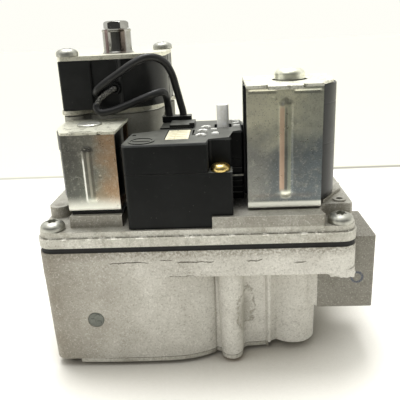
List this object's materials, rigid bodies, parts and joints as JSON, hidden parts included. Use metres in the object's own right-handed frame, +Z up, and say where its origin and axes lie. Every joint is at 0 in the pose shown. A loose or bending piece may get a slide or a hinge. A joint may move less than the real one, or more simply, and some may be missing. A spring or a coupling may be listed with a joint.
{
  "type": "gas valve",
  "caption": "Combination boiler gas valve: die-cast body and cover, two solenoid operators, diaphragm outlet valve, modulating regulator and black connection box",
  "frame": {"origin": "centre of the bottom plate's underside, midway between the cover's sides", "axes": "+X along the gas line toward the inlet block, +Y from the front to the rear, +Z up"},
  "size_m": [0.1178, 0.0836, 0.122],
  "materials": {
    "body_alloy": "die-cast, matt, sandy grey",
    "cover_alloy": "die-cast, satin, cool grey",
    "zinc_plate": "zinc plated and passivated, faint yellow and green sheen",
    "steel": "bright zinc plated",
    "chrome": "polished",
    "brass": "machined",
    "yellow_zinc": "yellow passivated steel",
    "coil_plastic": "moulded black, satin",
    "box_plastic": "moulded black, fine texture",
    "cream_plastic": "moulded cream",
    "rubber": "moulded nitrile rubber",
    "lead_cover": "flexible PVC sheath, satin"
  },
  "bodies": {
    "valve_body": {"body_casting": "body_alloy", "bottom_plate": "cover_alloy", "bottom_screw_1": "yellow_zinc", "bottom_screw_2": "yellow_zinc", "bottom_screw_3": "yellow_zinc", "bottom_screw_4": "yellow_zinc", "body_gasket": "rubber", "cover_casting": "cover_alloy", "cover_screw_1": "steel", "cover_screw_2": "steel", "cover_screw_3": "steel", "cover_screw_4": "steel", "inlet_strainer": "steel", "main_solenoid_coil": "coil_plastic", "main_guide_tube": "steel", "main_dome_nut": "steel", "inlet_valve_spring": "steel", "main_solenoid_frame": "zinc_plate", "main_solenoid_top_plate": "zinc_plate", "servo_solenoid_coil": "coil_plastic", "servo_guide_tube": "steel", "servo_washer": "rubber", "servo_valve_spring": "steel", "servo_solenoid_frame": "zinc_plate", "servo_solenoid_top_plate": "zinc_plate", "main_diaphragm": "rubber", "outlet_valve_spring": "steel", "regulator_housing": "body_alloy", "regulator_lower_plate": "zinc_plate", "regulator_top_plate": "zinc_plate", "regulator_coil": "coil_plastic", "regulator_screw_front": "steel", "regulator_screw_rear": "steel", "regulator_tube": "chrome", "regulator_spring": "steel", "regulator_diaphragm": "rubber", "box_base": "box_plastic", "box_lid": "box_plastic", "box_screw": "brass", "plug_insert": "cream_plastic", "plug_post": "steel", "cable_clamp": "box_plastic", "earth_tab": "steel", "lead_upper": "lead_cover", "lead_lower": "lead_cover", "inlet_test_nipple": "brass", "outlet_test_nipple": "brass"},
    "inlet_valve": {"inlet_valve_plunger": "steel", "inlet_valve_disc": "brass", "inlet_valve_seal": "rubber"},
    "servo_valve": {"servo_valve_plunger": "steel", "servo_valve_pad": "rubber"},
    "outlet_valve": {"diaphragm_plate": "steel", "outlet_valve_disc": "brass", "outlet_valve_seal": "rubber"},
    "regulator_armature": {"regulator_armature": "steel"},
    "max_adjuster": {"max_adjusting_nut": "steel"},
    "min_adjuster": {"min_adjusting_screw": "brass"},
    "inlet_test_screw": {"inlet_test_screw": "steel"},
    "outlet_test_screw": {"outlet_test_screw": "steel"}
  },
  "joints": [
    {"name": "inlet_valve_lift", "type": "slide", "parent": "valve_body", "child": "inlet_valve", "axis": [0, 0, 1], "range_m": [0, 0.003], "stiffness_N_per_m": 300, "springref_m": -0.006, "deforming": ["inlet_valve_spring"]},
    {"name": "servo_valve_lift", "type": "slide", "parent": "valve_body", "child": "servo_valve", "axis": [0, 0, 1], "range_m": [0, 0.0012], "stiffness_N_per_m": 300, "springref_m": -0.003, "deforming": ["servo_valve_spring"]},
    {"name": "outlet_valve_lift", "type": "slide", "parent": "valve_body", "child": "outlet_valve", "axis": [0, 0, 1], "range_m": [0, 0.0035], "stiffness_N_per_m": 350, "springref_m": -0.005, "deforming": ["outlet_valve_spring", "main_diaphragm"]},
    {"name": "regulator_stroke", "type": "slide", "parent": "valve_body", "child": "regulator_armature", "axis": [0, 0, 1], "range_m": [-0.0008, 0.0008], "stiffness_N_per_m": 1500, "deforming": ["regulator_spring", "regulator_diaphragm"]},
    {"name": "max_nut_turn", "type": "hinge", "parent": "valve_body", "child": "max_adjuster", "pos_m": [-0.0303, 0.015, 0.118], "axis": [0, 0, 1], "range_deg": [-1080, 1080]},
    {"name": "min_screw_turn", "type": "hinge", "parent": "max_adjuster", "child": "min_adjuster", "pos_m": [-0.0303, 0.015, 0.115], "axis": [0, 0, 1], "range_deg": [-1080, 1080]},
    {"name": "inlet_test_screw_turn", "type": "hinge", "parent": "valve_body", "child": "inlet_test_screw", "pos_m": [0.03, 0.04, 0.027], "axis": [0, 1, 0], "range_deg": [0, 720]},
    {"name": "outlet_test_screw_turn", "type": "hinge", "parent": "valve_body", "child": "outlet_test_screw", "pos_m": [-0.0435, 0.04, 0.027], "axis": [0, 1, 0], "range_deg": [0, 720]}
  ]
}
